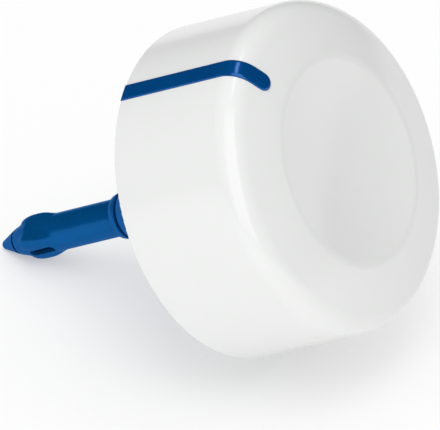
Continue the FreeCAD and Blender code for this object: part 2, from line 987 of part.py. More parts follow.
def socket():
    body = turned(
        "socket_insert",
        [
            ("0", "-insert_foot"),
            ("insert_radius", "-insert_foot"),
            ("insert_radius", "-turret_top"),
            ("insert_flange_radius", "-turret_top"),
            ("insert_flange_radius", "insert_flange - turret_top"),
            ("0", "insert_flange - turret_top"),
        ],
    )
    bore_foot = "-insert_foot - overcut"
    bores = cylinders("insert_bore", pin_places(), "pin_radius + bond_gap", "insert_foot", bore_foot)
    sub_part("socket_insert", cut("socket_insert", body, bores))
    pins = cylinders("socket_pin", pin_places(), "pin_radius", "pin_foot - pin_top", "-pin_foot")
    sub_part("socket_pins", group("socket_pins", pins))


# Probe


def groove_corners(depth, floor_radius, width):
    """Corners of a square groove in the spigot, met on the way down."""
    return [
        ("spigot_radius", f"{width} / 2 - {depth}"),
        (floor_radius, f"{width} / 2 - {depth}"),
        (floor_radius, f"-{width} / 2 - {depth}"),
        ("spigot_radius", f"-{width} / 2 - {depth}"),
    ]


def probe_head():
    ring_floor = "spigot_radius - ring_groove_depth"
    body = turned(
        "probe_head",
        [
            ("spigot_hollow", "-head_top"),
            ("spigot_radius", "-head_top"),
            *groove_corners("first_ring_groove", ring_floor, "ring_groove_width"),
            *groove_corners("second_ring_groove", ring_floor, "ring_groove_width"),
            *groove_corners("snap_groove", "snap_groove_radius", "snap_groove_width"),
            ("spigot_radius", "-tube_top"),
            ("tube_bore - slip_gap", "-tube_top"),
            ("tube_bore - slip_gap", "-head_foot"),
            ("spigot_hollow", "-head_foot"),
        ],
    )
    round_edges(body, "rim_blend", ("spigot_radius", "-head_top"))
    key = box(
        "spigot_key",
        "key_reach - spigot_hollow - bury",
        "key_width",
        "key_length",
        "(key_reach + spigot_hollow + bury) / 2",
        "0",
        "-head_top - key_drop",
    )
    sub_part("probe_head", fused("probe_head", [body, key]))


def head_pieces():
    ring_radius = "spigot_radius - ring_groove_depth + spigot_ring_section + slip_gap"
    rings = [
        ring("spigot_ring", ring_radius, "spigot_ring_section", f"-{depth}")
        for depth in ("first_ring_groove", "second_ring_groove")
    ]
    sub_part("spigot_o_rings", group("spigot_o_rings", rings))
    snap = plate(
        "retaining_ring",
        "snap_ring_radius",
        "snap_groove_radius + 2 * slip_gap",
        "snap_ring_thickness",
        "-snap_groove - snap_ring_thickness / 2",
    )
    sub_part("retaining_ring", snap)
    block_body = turned(
        "plug_insert",
        [
            ("0", "-plug_foot"),
            ("spigot_hollow - slip_gap", "-plug_foot"),
            ("spigot_hollow - slip_gap", "-plug_top"),
            ("0", "-plug_top"),
        ],
    )
    bore_foot = "plug_floor - plug_foot"
    bores = cylinders("plug_bore", pin_places(), "plug_hole_radius", "plug_foot - plug_top", bore_foot)
    sub_part("plug_insert", cut("plug_insert", block_body, bores))
    tails = cylinders("plug_tail", pin_places(), "pin_radius", "tail_length", "-plug_foot - tail_length")
    sub_part("plug_contacts", group("plug_contacts", tails))
    foot = "probe_board_gap - electrode_top"
    block("probe_board", "probe_board_width", "probe_board_thickness", "probe_board_length", "0", "0", foot)


def window_outline(sketch):
    """Round-ended slot, turned to lie midway between two fins."""
    turn = FreeCAD.Rotation(FreeCAD.Vector(0, 1, 0), value("window_azimuth"))
    sketch.AttachmentOffset = FreeCAD.Placement(FreeCAD.Vector(), turn)
    half = "window_width / 2"
    draw(
        sketch,
        [
            (half, f"{half} - window_bottom"),
            (half, f"-{half} - window_top", half),
            ("0", "-window_top", half),
            (f"-{half}", f"-{half} - window_top"),
            (f"-{half}", f"{half} - window_bottom", half),
            ("0", "-window_bottom", half),
        ],
    )


# Parts of a fin's length and of its thickness, along the rise and the fall of its crest
FIN_RISE = ((0.25, 0.44), (0.5, 0.75), (0.75, 0.94), (1, 1))
FIN_FALL = ((0.44, 0.94), (0.6, 0.87), (0.75, 0.78), (0.87, 0.65), (0.95, 0.53), (1, 0.35), (1, 0))


def fin_crest():
    """Corners of a fin's crest, which rises gently and falls ever more steeply."""
    rise, fall = "(fin_full - fin_start)", "(fin_end - fin_full)"
    steps = [(up, f"-fin_start - {rise} * {share}") for share, up in FIN_RISE]
    steps += [(up, f"-fin_full - {fall} * {share}") for share, up in FIN_FALL]
    return [(f"fin_axis_radius + fin_thickness * {up}", height) for up, height in steps]


def probe_tube():
    """Tube whose end is a guard with four rounded fins and a water window on either side."""
    body = new_body("probe_tube")
    turn_profile(
        body,
        [
            ("0", "-tube_top"),
            ("tube_radius", "-tube_top"),
            ("tube_radius", "-guard_taper_start"),
            ("guard_taper_radius", "-guard_taper_end"),
            ("guard_end_radius", "-guard_end"),
            ("0", "-guard_end"),
        ],
    )
    round_edges(body, "rim_blend", ("tube_radius", "-tube_top"), ("guard_end_radius", "-guard_end"))
    fin = turn_profile(body, [("fin_axis_radius", "-fin_start"), *fin_crest()], "fin_axis_radius")
    repeat(body, [fin], "fin_count")
    for radius, foot, top in (
        ("tube_bore", "chamber_floor", "tube_top - overcut"),
        ("nose_bore", "guard_end + overcut", "chamber_floor - overcut"),
    ):
        cut_hole(
            body,
            lambda sketch, size=radius: draw_circle(sketch, size),
            height=f"-({foot})",
            depth=f"{foot} - ({top})",
            upwards=True,
        )
    cut_hole(body, window_outline, plane="YZ_Plane", depth="4 * tube_radius", middle=True)
    sub_part("probe_tube", body, turn="fin_azimuth")


def electrode_at(label, piece, index):
    angle = f"(fin_azimuth + {90 * index})"
    sub_part(label, piece, f"electrode_circle * cos{angle}", f"electrode_circle * sin{angle}")


def electrodes():
    holes = [
        (f"{radius} + bond_gap", *centre)
        for radius, centre in zip(
            ("glass_radius", "sensor_radius", "sensor_radius", "sensor_radius"),
            circle_of("4", "electrode_circle", "fin_azimuth"),
        )
    ]
    carrier_height = "carrier_foot - carrier_top"
    carrier = plate("electrode_carrier", "tube_bore - slip_gap", None, carrier_height, "-carrier_foot", holes)
    sub_part("electrode_carrier", carrier)
    glass = new_body("ph_electrode")
    bulb_top = "sqrt(bulb_radius ^ 2 - glass_radius ^ 2) - bulb_depth"
    turn_profile(
        glass,
        [
            ("0", "-electrode_top"),
            ("0", "-bulb_depth - bulb_radius", "bulb_radius"),
            ("bulb_radius", "-bulb_depth", "bulb_radius"),
            ("glass_radius", bulb_top),
            ("glass_radius", "-electrode_top"),
        ],
    )
    electrode_at("ph_electrode", glass, 0)
    for index, (shaft, tip) in enumerate(
        (("orp_electrode", "orp_tip"), ("reference_electrode", "junction_frit")), start=1
    ):
        rod = turned(
            shaft,
            [
                ("0", "-electrode_top"),
                ("0", "-sensor_foot"),
                ("sensor_radius", "-sensor_foot"),
                ("sensor_radius", "-electrode_top"),
            ],
        )
        electrode_at(shaft, rod, index)
        end = turned(
            tip,
            [
                ("0", "-sensor_foot"),
                ("0", "-sensor_foot - tip_length", "tip_radius"),
                ("tip_radius", "tip_radius - sensor_foot - tip_length"),
                ("tip_radius", "-sensor_foot"),
            ],
        )
        electrode_at(tip, end, index)
    pin = turned(
        "temperature_pin",
        [
            ("0", "-electrode_top"),
            ("0", "-sensor_foot - sensor_radius", "sensor_radius"),
            ("sensor_radius", "-sensor_foot"),
            ("sensor_radius", "-electrode_top"),
        ],
    )
    electrode_at("temperature_pin", pin, 3)


def locking_collar():
    body = turned(
        "locking_collar",
        [
            ("collar_bore", "-collar_thread_top"),
            ("collar_thread_radius", "-collar_thread_top"),
            ("collar_thread_radius", "-neck_length"),
            ("collar_neck_radius", "-neck_length"),
            ("collar_neck_radius", "-neck_length - collar_gap"),
            ("collar_ridge_radius", "-neck_length - collar_gap"),
            ("collar_edge_radius", "-collar_foot"),
            ("collar_bore", "-collar_foot"),
        ],
    )
    ridge = ("collar_ridge_radius", "-neck_length - collar_gap")
    round_edges(body, "collar_blend", ridge, ("collar_edge_radius", "-collar_foot"))
    sub_part("locking_collar", body)


def nose():
    body = turned(
        "nose_cap",
        [
            ("0", "-nose_shank_top"),
            ("0", "-nose_tip", "nose_tip_radius"),
            ("nose_tip_radius * cos(nose_angle)", "nose_tip_radius * (1 - sin(nose_angle)) - nose_tip"),
            ("nose_radius", "-nose_shoulder"),
            ("nose_shank_radius", "-nose_shoulder"),
            ("nose_shank_radius", "-nose_shank_top"),
        ],
    )
    sub_part("nose_cap", body)
    seal_radius = "nose_shank_radius + nose_ring_section + slip_gap"
    seal = ring("nose_o_ring", seal_radius, "nose_ring_section", "-(guard_end + nose_shoulder) / 2")
    sub_part("nose_o_ring", seal)


def check_document():
    for item in DOC.Objects:
        faults = {"Invalid", "Error"} & set(item.State)
        assert not faults, f"{item.Label} is {faults}"
    for piece in SUB_PARTS:
        assert not piece.Shape.isNull() and piece.Shape.isValid(), piece.Label + " has a bad shape"


def main():
    fill_sheet()
    top_shell()
    indicator_strip()
    base_cover()
    cover_gasket()
    screws(
        "cover_screws",
        "cover_screw_count",
        "boss_circle",
        "cover_screw_turn",
        HEAD_SEAT,
        "cover_screw_length",
        True,
    )
    ballast_ring()
    screws(
        "ballast_screws",
        "ballast_screw_count",
        "ballast_screw_circle",
        "ballast_screw_turn",
        f"({COVER_TOP} + ballast_thickness)",
        "(ballast_thickness + ballast_screw_bite)",
        False,
    )
    chassis()
    screws(
        "chassis_screws",
        "post_count",
        "post_circle",
        "post_turn",
        CHASSIS_TOP,
        "small_screw_length",
        False,
    )
    main_board()
    screws(
        "board_screws",
        "standoff_count",
        "standoff_circle",
        "standoff_turn",
        BOARD_TOP,
        "small_screw_length",
        False,
    )
    board_pieces()
    battery_tray()
    battery_cells()
    battery_contacts()
    battery_leads()
    probe_lead()
    socket()
    probe_head()
    head_pieces()
    probe_tube()
    electrodes()
    locking_collar()
    nose()
    DOC.recompute()
    check_document()
    os.makedirs("parts", exist_ok=True)
    for piece in SUB_PARTS:
        piece.Shape.exportStep(f"parts/{piece.Label}.step")
        print(f"{piece.Label}: {len(piece.Shape.Solids)} solids, {piece.Shape.Volume / 1000:.3f} cm3")


main()
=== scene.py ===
"""Floating pool water monitor on a white studio floor: materials, finer visible pieces, light and camera.

Lengths are in metres in the part's own frame: +Z is the drum's axis, +X points at the blue strip, and the
origin is on the axis at the waterline.
"""
import json
import math

import bmesh
import bpy
import numpy
from mathutils import Matrix, Vector


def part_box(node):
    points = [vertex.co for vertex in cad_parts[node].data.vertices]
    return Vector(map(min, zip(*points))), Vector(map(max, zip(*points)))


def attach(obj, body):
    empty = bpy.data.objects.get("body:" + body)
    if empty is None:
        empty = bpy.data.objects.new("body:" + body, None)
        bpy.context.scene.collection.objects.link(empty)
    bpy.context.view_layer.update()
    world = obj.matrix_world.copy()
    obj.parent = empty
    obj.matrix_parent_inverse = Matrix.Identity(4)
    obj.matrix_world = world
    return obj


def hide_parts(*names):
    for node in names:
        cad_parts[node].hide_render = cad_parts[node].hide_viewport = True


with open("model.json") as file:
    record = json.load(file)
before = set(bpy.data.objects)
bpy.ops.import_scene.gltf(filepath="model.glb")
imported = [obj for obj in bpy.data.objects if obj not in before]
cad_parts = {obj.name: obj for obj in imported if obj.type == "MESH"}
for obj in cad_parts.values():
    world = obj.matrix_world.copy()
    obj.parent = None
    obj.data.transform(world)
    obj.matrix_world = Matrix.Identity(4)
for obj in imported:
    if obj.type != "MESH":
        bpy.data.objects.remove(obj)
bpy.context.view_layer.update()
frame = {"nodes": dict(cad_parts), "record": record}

MM = 0.001

# The camera sees the drum's axis point right, a little up and towards it.
AXIS_TILT = math.radians(38.37)
AXIS_LEAN = math.radians(13.5)
STRIP_TURN = math.radians(55.26)
CAMERA_DISTANCE = 1.909
CAMERA_LENS = 409.1
RIM_CENTRE_RIGHT = 0.00263
RIM_CENTRE_UP = 0.00920
FLOOR_ELEVATION = math.radians(34.0)

RIM_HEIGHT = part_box("top_shell")[0].z


# Camera and floor


def view_axes():
    """The part's X, Y and Z axes as the camera sees them: x right, y up, z towards the camera."""
    axis = Vector(
        (
            math.cos(AXIS_TILT) * math.cos(AXIS_LEAN),
            math.cos(AXIS_TILT) * math.sin(AXIS_LEAN),
            math.sin(AXIS_TILT),
        )
    )
    up = Vector((0, 1, 0))
    above = (up - axis * up.dot(axis)).normalized()
    beside = axis.cross(above)
    strip = above * math.cos(STRIP_TURN) + beside * math.sin(STRIP_TURN)
    return strip, axis.cross(strip), axis


def view_rotation():
    """Rotation from the camera's own axes to the part's."""
    return Matrix(view_axes())


def add_camera():
    turn = view_rotation()
    rim_centre = Vector((RIM_CENTRE_RIGHT, RIM_CENTRE_UP, -CAMERA_DISTANCE))
    data = bpy.data.cameras.new("camera")
    data.lens = CAMERA_LENS
    data.sensor_width = 36
    data.clip_end = 50
    camera = bpy.data.objects.new("camera", data)
    camera.matrix_world = Matrix.Translation(Vector((0, 0, RIM_HEIGHT)) - turn @ rim_centre) @ turn.to_4x4()
    bpy.context.scene.collection.objects.link(camera)
    bpy.context.scene.camera = camera


def lowest_along(direction):
    return min(vertex.co.dot(direction) for node in frame["nodes"].values() for vertex in node.data.vertices)


def add_floor(size=12.0):
    """Seamless floor laid against the part's lowest point at rest, the probe's tip."""
    normal = view_rotation() @ Vector((0, math.cos(FLOOR_ELEVATION), math.sin(FLOOR_ELEVATION)))
    half = size / 2
    mesh = bpy.data.meshes.new("floor")
    corners = [(-half, -half, 0), (half, -half, 0), (half, half, 0), (-half, half, 0)]
    mesh.from_pydata(corners, [], [(0, 1, 2, 3)])
    floor = bpy.data.objects.new("floor", mesh)
    lie = normal.to_track_quat("Z", "Y").to_matrix().to_4x4()
    floor.matrix_world = Matrix.Translation(normal * lowest_along(normal)) @ lie
    bpy.context.scene.collection.objects.link(floor)
    floor.data.materials.append(floor_material())
    return floor


# Materials


class Shader:
    """A material's node tree with short ways to add and join nodes."""

    def __init__(self, name):
        self.material = bpy.data.materials.new(name)
        self.material.use_nodes = True
        self.tree = self.material.node_tree
        self.tree.nodes.clear()
        self.output = self.tree.nodes.new("ShaderNodeOutputMaterial")

    def node(self, kind):
        return self.tree.nodes.new("ShaderNode" + kind)

    def join(self, source, target):
        self.tree.links.new(source, target)

    def noise(self, scale, detail, stretch):
        mapping = self.node("Mapping")
        mapping.inputs["Scale"].default_value = stretch
        self.join(self.node("TexCoord").outputs["Object"], mapping.inputs["Vector"])
        noise = self.node("TexNoise")
        noise.inputs["Scale"].default_value = scale
        noise.inputs["Detail"].default_value = detail
        self.join(mapping.outputs["Vector"], noise.inputs["Vector"])
        return noise.outputs["Fac"]

    def ramp(self, source, low, high, start=0.3, end=0.7):
        ramp = self.node("ValToRGB")
        ramp.color_ramp.elements[0].position = start
        ramp.color_ramp.elements[1].position = end
        ramp.color_ramp.elements[0].color = low
        ramp.color_ramp.elements[1].color = high
        self.join(source, ramp.inputs["Fac"])
        return ramp.outputs["Color"]

    def bump(self, source, strength, distance):
        bump = self.node("Bump")
        bump.inputs["Strength"].default_value = strength
        bump.inputs["Distance"].default_value = distance
        self.join(source, bump.inputs["Height"])
        return bump.outputs["Normal"]

    def principled(self, **inputs):
        shader = self.node("BsdfPrincipled")
        for name, setting in inputs.items():
            shader.inputs[name.replace("_", " ")].default_value = setting
        self.join(shader.outputs["BSDF"], self.output.inputs["Surface"])
        return shader


def grey(level):
    return (level, level, level, 1)


def shade(colour, factor):
    return (*(min(part * factor, 1) for part in colour), 1)


EVEN = (1, 1, 1)
BRUSHED = (1, 8, 1)


def surface(name, colour, roughness, variation=0.03, grain=900, bump=0.02, scale=60, stretch=EVEN, **inputs):
    """Surface with slow colour and gloss changes and a fine grain."""
    shader = Shader(name)
    principled = shader.principled(**inputs)
    slow = shader.noise(scale, 3.0, stretch)
    fine = shader.noise(grain, 2.0, stretch)
    tint = shader.ramp(slow, shade(colour, 1 - variation), shade(colour, 1 + variation))
    shader.join(tint, principled.inputs["Base Color"])
    gloss = shader.ramp(slow, grey(roughness * 0.88), grey(roughness * 1.12))
    shader.join(gloss, principled.inputs["Roughness"])
    shader.join(shader.bump(fine, bump, 0.0001), principled.inputs["Normal"])
    return shader.material


FLOOR_WHITE = 0.50
FLOOR_GLOW = 0.42


def floor_material():
    """White sweep that is seen through from below, so that it never hides the part."""
    shader = Shader("studio_sweep")
    diffuse = shader.node("BsdfDiffuse")
    diffuse.inputs["Color"].default_value = grey(FLOOR_WHITE)
    glow = shader.node("Emission")
    glow.inputs["Strength"].default_value = FLOOR_GLOW
    both = shader.node("AddShader")
    clear = shader.node("BsdfTransparent")
    mix = shader.node("MixShader")
    shader.join(diffuse.outputs[0], both.inputs[0])
    shader.join(glow.outputs[0], both.inputs[1])
    shader.join(shader.node("NewGeometry").outputs["Backfacing"], mix.inputs["Fac"])
    shader.join(both.outputs[0], mix.inputs[1])
    shader.join(clear.outputs[0], mix.inputs[2])
    shader.join(mix.outputs[0], shader.output.inputs["Surface"])
    return shader.material


WHITE = (0.83, 0.84, 0.83)
STRIP_BLUE = (0.001, 0.097, 0.355)
PROBE_BLUE = (0.002, 0.100, 0.325)
BLUE_SHEEN = (0.10, 0.60, 1.0, 1)
STEEL = (0.62, 0.62, 0.63)
GOLD = (0.83, 0.58, 0.18)
GLASS = (0.86, 0.93, 0.94)


def blue_plastic(name, colour, roughness, scale, coat):
    """Deep blue moulding with blue gloss, as if filled with fine pearl pigment, under a thin clear skin."""
    return surface(
        name,
        colour,
        roughness,
        variation=0.05,
        grain=2500,
        bump=0.02,
        scale=scale,
        Metallic=0.47,
        Specular_IOR_Level=0.0,
        Specular_Tint=BLUE_SHEEN,
        Coat_Weight=coat,
        Coat_Roughness=0.14,
    )


def materials():
    return {
        "white_shell": surface("white_shell", WHITE, 0.18, 0.006, 700, 0.015, 35),
        "blue_strip": blue_plastic("blue_strip", STRIP_BLUE, 0.24, 90, 0.7),
        "blue_moulding": blue_plastic("blue_moulding", PROBE_BLUE, 0.30, 120, 0.12),
        "black_rubber": surface("black_rubber", (0.012, 0.012, 0.013), 0.6, 0.1, 3000, 0.2, 200),
        # The nose O-ring's blue is a guess, set lighter than the probe's moulding to offset the shade in its
        # groove: partly its own colour, partly painted light.
        "blue_rubber": surface("blue_rubber", (0.004, 0.12, 0.42), 0.35, 0.08, 3000, 0.2, 200),
        "screw_steel": surface("screw_steel", STEEL, 0.28, 0.06, 1500, 0.1, 300, Metallic=1.0),
        "ballast_steel": surface("ballast_steel", (0.42, 0.43, 0.44), 0.42, 0.1, 1200, 0.1, 80, Metallic=1.0),
        "grey_frame": surface("grey_frame", (0.11, 0.115, 0.12), 0.5, 0.06, 1500, 0.2, 90),
        "green_board": surface("green_board", (0.006, 0.09, 0.035), 0.35, 0.12, 1500, 0.1, 400),
        "chip_black": surface("chip_black", (0.012, 0.012, 0.013), 0.45, 0.08, 3000, 0.2, 300),
        "shield_can": surface(
            "shield_can", (0.66, 0.66, 0.67), 0.3, 0.05, 2000, 0.1, 200, BRUSHED, Metallic=1.0
        ),
        "antenna_ceramic": surface("antenna_ceramic", (0.72, 0.73, 0.70), 0.5, 0.04, 3000, 0.1, 300),
        "connector_cream": surface("connector_cream", (0.68, 0.62, 0.45), 0.45, 0.04, 2000, 0.1, 200),
        "cell_jacket": surface("cell_jacket", (0.16, 0.18, 0.21), 0.3, 0.08, 1500, 0.05, Metallic=0.6),
        "spring_steel": surface("spring_steel", (0.70, 0.70, 0.71), 0.25, 0.05, 2000, 0.1, 300, Metallic=1.0),
        "red_lead": surface("red_lead", (0.35, 0.01, 0.01), 0.45, 0.06, 2000, 0.1, 200),
        "grey_lead": surface("grey_lead", (0.03, 0.03, 0.033), 0.5, 0.06, 2000, 0.1, 200),
        "insert_black": surface("insert_black", (0.012, 0.012, 0.014), 0.45, 0.06, 2000, 0.1, 200),
        "contact_gold": surface("contact_gold", GOLD, 0.22, 0.05, 2000, 0.05, 300, Metallic=1.0),
        "carrier_black": surface("carrier_black", (0.012, 0.012, 0.014), 0.4, 0.06, 2000, 0.1, 200),
        "electrode_glass": surface(
            "electrode_glass", GLASS, 0.04, 0.02, 900, 0.01, 200, Transmission_Weight=0.9, IOR=1.47
        ),
        "electrode_body": surface("electrode_body", (0.02, 0.02, 0.022), 0.3, 0.06, 2000, 0.05, 200),
        "platinum": surface("platinum", (0.72, 0.70, 0.66), 0.15, 0.03, 2500, 0.05, 300, Metallic=1.0),
        "frit_ceramic": surface("frit_ceramic", (0.80, 0.77, 0.68), 0.7, 0.08, 4000, 0.4, 500),
        "pin_steel": surface("pin_steel", (0.64, 0.64, 0.65), 0.2, 0.04, 2500, 0.05, 300, Metallic=1.0),
    }


def dress_nodes(looks):
    for part in frame["record"]["subparts"]:
        mesh = frame["nodes"][part["node"]].data
        mesh.materials.clear()
        mesh.materials.append(looks[part["material_slot"]])


# Finer pieces

SHARP_ANGLE = math.radians(40)


def add_piece(vertices, faces, node, body, slot, looks):
    """Make a closed mesh, in millimetres from the drum's rim, into a piece that stands for a CAD node."""
    mesh = bpy.data.meshes.new(node + "_piece")
    mesh.from_pydata([(x * MM, y * MM, RIM_HEIGHT + z * MM) for x, y, z in vertices], [], faces)
    mesh.validate()
    tidy = bmesh.new()
    tidy.from_mesh(mesh)
    bmesh.ops.recalc_face_normals(tidy, faces=tidy.faces)
    tidy.to_mesh(mesh)
    tidy.free()
    mesh.shade_smooth()
    mesh.set_sharp_from_angle(angle=SHARP_ANGLE)
    mesh.materials.append(looks[slot])
    piece = bpy.data.objects.new(mesh.name, mesh)
    bpy.context.scene.collection.objects.link(piece)
    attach(piece, body)
    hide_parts(node)
    return piece


def grid_faces(rows, columns, close_rows=False, close_columns=False, first=0):
    """Quads between neighbouring points of a grid whose rows follow each other from a first vertex."""
    faces = []
    for row in range(rows if close_rows else rows - 1):
        for column in range(columns if close_columns else columns - 1):
            below, beside = (row + 1) % rows, (column + 1) % columns
            corners = ((row, column), (row, beside), (below, beside), (below, column))
            faces.append([first + across * columns + along for across, along in corners])
    return faces


def ring_grid(rows, angles):
    """Points and quads of a ring whose section is a loop of rows: its radius at every angle, and a height."""
    points = []
    for radii, height in rows:
        spread = numpy.broadcast_to(radii, angles.shape)
        points += [(r * math.cos(a), r * math.sin(a), height) for r, a in zip(spread, angles)]
    return points, grid_faces(len(rows), len(angles), True, True)


def rounded(before, corner, after, radius, steps=4):
    """Points of the arc that rounds one corner of a section."""
    before, corner, after = Vector(before), Vector(corner), Vector(after)
    back, on = (before - corner).normalized(), (after - corner).normalized()
    half = back.angle(on) / 2
    reach = radius / math.tan(half)
    centre = corner + (back + on).normalized() * (radius / math.sin(half))
    start, end = corner + back * reach - centre, corner + on * reach - centre
    turn = start.angle_signed(end)
    arc = []
    for step in range(steps + 1):
        share = turn * step / steps
        cos, sin = math.cos(share), math.sin(share)
        arc.append(tuple(centre + Vector((start.x * cos + start.y * sin, start.y * cos - start.x * sin))))
    return arc


# Blue strip

STRIP_HALF = 3.7
STRIP_SUNK = 1.4
STRIP_PROUD = 0.8
STRIP_EDGE = 1.3
STRIP_TIP = 48.8
STRIP_LIP = 0.25
STRIP_CROWN = 0.15
LEAST_WIDTH_SQUARED = 0.0004
PEG_RADIUS = 1.5
PEG_LENGTH = 4.5
PEG_CHAMFER = 0.5
PEG_NARROWING = 0.4
SIDE_PEG = (Vector((63.3, 0, 26)), Vector((-1, 0, 0)))
TOP_PEG = (Vector((53, 0, 57.5)), Vector((0, 0, -1)))


def drum_path():
    """The drum's outside from its rim to the dish: places and outward directions about 1 mm apart."""
    wall_foot, wall_top, dish_edge = Vector((65, 0)), Vector((64, 55)), Vector((40.1, 61))
    blend, crown = 9.5, 140
    half = (dish_edge - wall_top) / 2
    inward = Vector((-half.y, half.x)).normalized()
    crown_centre = wall_top + half + inward * math.sqrt(crown**2 - half.length**2)
    along = (wall_top - wall_foot).normalized()
    outward = Vector((along.y, -along.x))
    start = wall_foot - outward * blend - crown_centre
    reach = math.sqrt((crown - blend) ** 2 - start.dot(outward) ** 2) - start.dot(along)
    blend_centre = wall_foot - outward * blend + along * reach
    path = [(wall_foot + along * reach * step / 48, outward) for step in range(49)]
    first = math.atan2(outward.y, outward.x)
    towards = blend_centre - crown_centre
    last = math.atan2(towards.y, towards.x)
    for step in range(1, 21):
        angle = first + (last - first) * step / 20
        way = Vector((math.cos(angle), math.sin(angle)))
        path.append((blend_centre + way * blend, way))
    end_angle = math.atan2(dish_edge.y - crown_centre.y, dish_edge.x - crown_centre.x)
    for step in range(1, 41):
        angle = last + (end_angle - last) * step / 40
        way = Vector((math.cos(angle), math.sin(angle)))
        path.append((crown_centre + way * crown, way))
    return path


def strip_rows():
    """Places along the strip, closer together where its ends round over."""
    path = drum_path()
    lengths = [0.0]
    for (here, _), (there, _) in zip(path, path[1:]):
        lengths.append(lengths[-1] + (there - here).length)
    tip = numpy.interp(-STRIP_TIP, [-place.x for place, _ in path], lengths)
    shares = numpy.concatenate((numpy.linspace(0, 1, 7) ** 2 * 1.2, numpy.linspace(2, tip - 4.6, 78)))
    end = tip - 3.7 + 3.7 * numpy.sin(numpy.linspace(-0.2, math.pi / 2, 22))
    for at in numpy.concatenate((shares, end)):
        place, way = (
            Vector([numpy.interp(at, lengths, [point[part][axis] for point in path]) for axis in (0, 1)])
            for part in (0, 1)
        )
        yield at, tip, place, way.normalized()


def add_strip(looks, columns=29):
    """Blue strip with rolled-over edges and a round end, standing a little proud of the drum."""
    across = [math.sin(math.pi / 2 * (2 * column / (columns - 1) - 1)) for column in range(columns)]
    top, bottom = [], []
    for at, tip, place, way in strip_rows():
        past = max(at - (tip - STRIP_HALF), 0)
        width = math.sqrt(max(STRIP_HALF**2 - past**2, LEAST_WIDTH_SQUARED))
        for share in across:
            side = width * share
            if past:
                margin = STRIP_HALF - math.hypot(side, past)
            else:
                margin = min(STRIP_HALF - abs(side), at)
            rise = 1 - min(max(margin, 0) / STRIP_EDGE, 1)
            crown = STRIP_CROWN * (side / STRIP_HALF) ** 2
            height = -STRIP_LIP + (STRIP_PROUD + STRIP_LIP - crown) * math.sqrt(1 - rise**2)
            for points, lift in ((top, height), (bottom, -STRIP_SUNK)):
                spot = place + way * lift
                points.append((spot.x, side, max(spot.y, 0.0)))
    rows = len(top) // columns
    faces = grid_faces(rows, columns) + grid_faces(rows, columns, first=len(top))
    rim = list(range(columns))
    rim += [row * columns + columns - 1 for row in range(1, rows)]
    rim += [(rows - 1) * columns + column for column in range(columns - 2, -1, -1)]
    rim += [row * columns for row in range(rows - 2, 0, -1)]
    count = len(top)
    faces += [[here, there, there + count, here + count] for here, there in zip(rim, rim[1:] + rim[:1])]
    points = top + bottom
    add_peg(points, faces, *SIDE_PEG)
    add_peg(points, faces, *TOP_PEG)
    add_piece(points, faces, "indicator_strip", "float", "blue_strip", looks)


def add_peg(points, faces, origin, way, count=24):
    """Append a locating peg with a chamfered end."""
    side = way.cross(Vector((0, 1, 0))).normalized()
    first = len(points)
    tip = (PEG_LENGTH, PEG_RADIUS - PEG_NARROWING)
    for depth, radius in ((0, PEG_RADIUS), (PEG_LENGTH - PEG_CHAMFER, PEG_RADIUS), tip):
        for step in range(count):
            angle = 2 * math.pi * step / count
            round_way = side * math.cos(angle) + Vector((0, 1, 0)) * math.sin(angle)
            points.append(tuple(origin + way * depth + round_way * radius))
    faces += grid_faces(3, count, close_columns=True, first=first)
    faces.append(list(range(first, first + count)))
    faces.append(list(range(first + 2 * count, first + 3 * count)))


# Probe tube with its guard

TUBE_TOP = 53.4
TUBE_RADIUS = 7.5
TUBE_BORE = 5.6
CHAMBER_FLOOR = 100.4
NOSE_BORE = 3.3
GUARD = ((98.6, 7.5), (103.0, 6.45), (106.4, 5.45))
FIN_AZIMUTH = math.radians(52.7)
FIN_AXIS = 5.7
FIN_THICKNESS = 3.4
FIN_START, FIN_FULL, FIN_END = 82.3, 93.5, 102.6
FIN_END_SHARE, FIN_END_RUN = 0.35, 0.4
FIN_FILLET = 1.0
WINDOW_AZIMUTH = math.radians(97.7)
WINDOW_HALF = 1.8
WINDOW_TOP, WINDOW_FOOT = 87.0, 99.4


def fin_radius(depth):
    """Half thickness of a fin at a depth below the rim: a gentle rise, a round fall and a blunt end."""
    if depth <= FIN_START or depth >= FIN_END + FIN_END_RUN:
        return 0.0
    if depth < FIN_FULL:
        return FIN_THICKNESS * (1 - ((FIN_FULL - depth) / (FIN_FULL - FIN_START)) ** 2)
    if depth > FIN_END:
        return FIN_THICKNESS * FIN_END_SHARE * (1 - (depth - FIN_END) / FIN_END_RUN)
    fall = (1 - ((depth - FIN_FULL) / (FIN_END - FIN_FULL)) ** 2.6) ** 0.6
    return FIN_THICKNESS * (FIN_END_SHARE + (1 - FIN_END_SHARE) * fall)


def guard_radii(depth, angles):
    """Outer radius at every angle, where the fins grow out of the tube with a fillet."""
    tube = float(numpy.interp(depth, [step[0] for step in GUARD], [step[1] for step in GUARD]))
    fin = fin_radius(depth)
    if fin == 0:
        return numpy.full(angles.shape, tube)
    off = (angles - FIN_AZIMUTH + math.pi / 4) % (math.pi / 2) - math.pi / 4
    fillet = FIN_FILLET * min(fin / FIN_THICKNESS * 2, 1)
    low, high = numpy.full(angles.shape, tube - 1.0), numpy.full(angles.shape, FIN_AXIS + FIN_THICKNESS + 1)
    for _ in range(28):
        radius = (low + high) / 2
        to_tube = radius - tube
        to_fin = numpy.hypot(radius * numpy.cos(off) - FIN_AXIS, radius * numpy.sin(off)) - fin
        share = numpy.clip(0.5 + 0.5 * (to_tube - to_fin) / fillet, 0, 1)
        gap = to_tube * (1 - share) + to_fin * share - fillet * share * (1 - share)
        low, high = numpy.where(gap < 0, radius, low), numpy.where(gap < 0, high, radius)
    return numpy.minimum((low + high) / 2, FIN_AXIS + FIN_THICKNESS)


